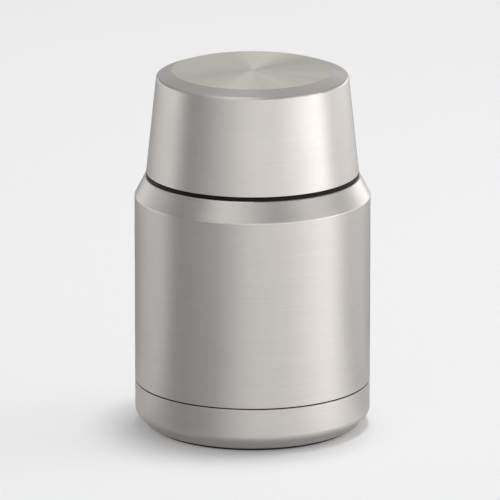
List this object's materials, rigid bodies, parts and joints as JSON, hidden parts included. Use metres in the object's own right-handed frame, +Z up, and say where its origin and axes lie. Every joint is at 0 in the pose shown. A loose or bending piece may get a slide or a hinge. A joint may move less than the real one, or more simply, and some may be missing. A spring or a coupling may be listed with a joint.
{
  "type": "insulated food jar",
  "caption": "Vacuum food jar of brushed steel with a tapered cup lid, a screw stopper with a vent button, and a non-slip foot.",
  "frame": {"origin": "centre of the foot on the surface the jar stands on", "axes": "+Z up along the jar's axis, which every screw joint shares; the front faces -Y"},
  "size_m": [0.095, 0.095, 0.1468],
  "materials": {
    "casing_steel": "brushed round the wall",
    "base_steel": "brushed round the wall",
    "lid_steel": "brushed wall, spun top",
    "pad_rubber": "matte",
    "vessel_steel": "electropolished satin",
    "foil": "bright",
    "plate_steel": "mill finish",
    "solder": "dull",
    "getter_metal": "sintered",
    "stopper_plastic": "satin",
    "stopper_base_plastic": "satin",
    "cover_plastic": "fine texture",
    "foam": "foam",
    "silicone": "matte",
    "button_plastic": "satin",
    "stem_steel": "drawn",
    "spring_steel": "drawn wire",
    "ring_plastic": "satin",
    "bowl_steel": "satin"
  },
  "bodies": {
    "jar": {"outer_shell": "casing_steel", "base_cup": "base_steel", "foot_pad": "pad_rubber", "inner_vessel": "vessel_steel", "foil_wrap": "foil", "vacuum_bottom": "plate_steel", "sealing_bead": "solder", "getter": "getter_metal"},
    "stopper_ring": {"stopper_gasket": "silicone"},
    "stopper": {"stopper_body": "stopper_plastic", "stopper_base": "stopper_base_plastic", "stopper_top": "cover_plastic", "stopper_foam": "foam", "vent_spring": "spring_steel"},
    "vent": {"vent_button": "button_plastic", "vent_stem": "stem_steel", "vent_seal": "silicone"},
    "lid_ring": {"lid_gasket": "silicone"},
    "lid": {"lid_shell": "lid_steel", "lid_thread_ring": "ring_plastic", "lid_bowl": "bowl_steel", "lid_foam": "foam"}
  },
  "joints": [
    {"name": "stopper_rise", "type": "slide", "parent": "jar", "child": "stopper_ring", "axis": [0, 0, 1], "range_m": [0, 0.0481]},
    {"name": "stopper_turn", "type": "hinge", "parent": "stopper_ring", "child": "stopper", "pos_m": [0, 0, 0.1131], "axis": [0, 0, 1], "range_deg": [0, 1440]},
    {"name": "vent_press", "type": "slide", "parent": "stopper", "child": "vent", "axis": [0, 0, -1], "range_m": [0, 0.002], "stiffness_N_per_m": 400, "springref_m": -0.004, "deforming": ["vent_spring"]},
    {"name": "lid_rise", "type": "slide", "parent": "stopper", "child": "lid_ring", "axis": [0, 0, 1], "range_m": [0, 0.0481]},
    {"name": "lid_turn", "type": "hinge", "parent": "lid_ring", "child": "lid", "pos_m": [0, 0, 0.1187], "axis": [0, 0, 1], "range_deg": [0, 720]}
  ],
  "couplings": [
    {"joint": "stopper_rise", "follows": "stopper_turn", "m_per_rad": 0.0019099},
    {"joint": "lid_rise", "follows": "lid_turn", "m_per_rad": 0.0038197}
  ]
}
